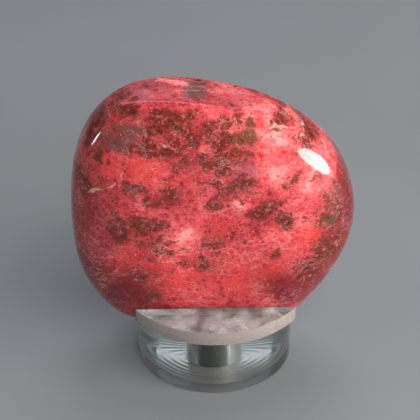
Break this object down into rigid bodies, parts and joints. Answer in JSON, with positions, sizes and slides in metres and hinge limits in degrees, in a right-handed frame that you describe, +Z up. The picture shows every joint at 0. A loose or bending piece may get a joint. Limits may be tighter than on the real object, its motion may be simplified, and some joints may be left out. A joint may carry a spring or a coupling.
{
  "type": "polished thulite stone on stand",
  "caption": "Polished pink thulite pebble with a narrow flat ground along its top edge, standing upright in a clear acrylic stand of a round base and half-moon plates.",
  "frame": {"origin": "centre of the stand's round underside, on the surface it stands on", "axes": "+Z up through the stand and the stone, +X along the slot and the stone's width to the viewer's right, +Y to the back; the stone's broad front face looks towards -Y"},
  "size_m": [0.0691, 0.0484, 0.0755],
  "materials": {
    "polished_thulite": "polished",
    "clear_acrylic": "gloss"
  },
  "bodies": {
    "root": {"stone": "polished_thulite", "stand_base": "clear_acrylic", "front_half_moon": "clear_acrylic", "rear_half_moon": "clear_acrylic"}
  },
  "joints": []
}
